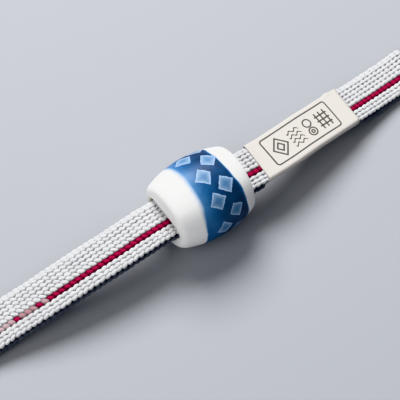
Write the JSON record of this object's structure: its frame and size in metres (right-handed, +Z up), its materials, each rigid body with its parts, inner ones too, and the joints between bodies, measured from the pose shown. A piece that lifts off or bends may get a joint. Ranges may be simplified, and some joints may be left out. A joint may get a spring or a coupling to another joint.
{
  "type": "obidome barrel bead on a flat obi cord",
  "caption": "Glazed porcelain barrel bead threaded on a flat woven cord, with a plain paper band round the cord beside it.",
  "frame": {"origin": "on the surface the bead lies on, straight below the middle of the bead", "axes": "+X along the bead and its cord, towards the paper band; +Z up; +Y across the cord, away from the picture's camera"},
  "size_m": [0.1221, 0.0191, 0.017],
  "materials": {
    "porcelain": "glossy white glaze with a cobalt blue band",
    "woven_cord": "matt woven silk, white with a crimson stripe, navy at the back",
    "paper": "matt cream paper"
  },
  "bodies": {
    "root": {"bead": "porcelain", "cord": "woven_cord", "paper_band": "paper"}
  },
  "joints": []
}
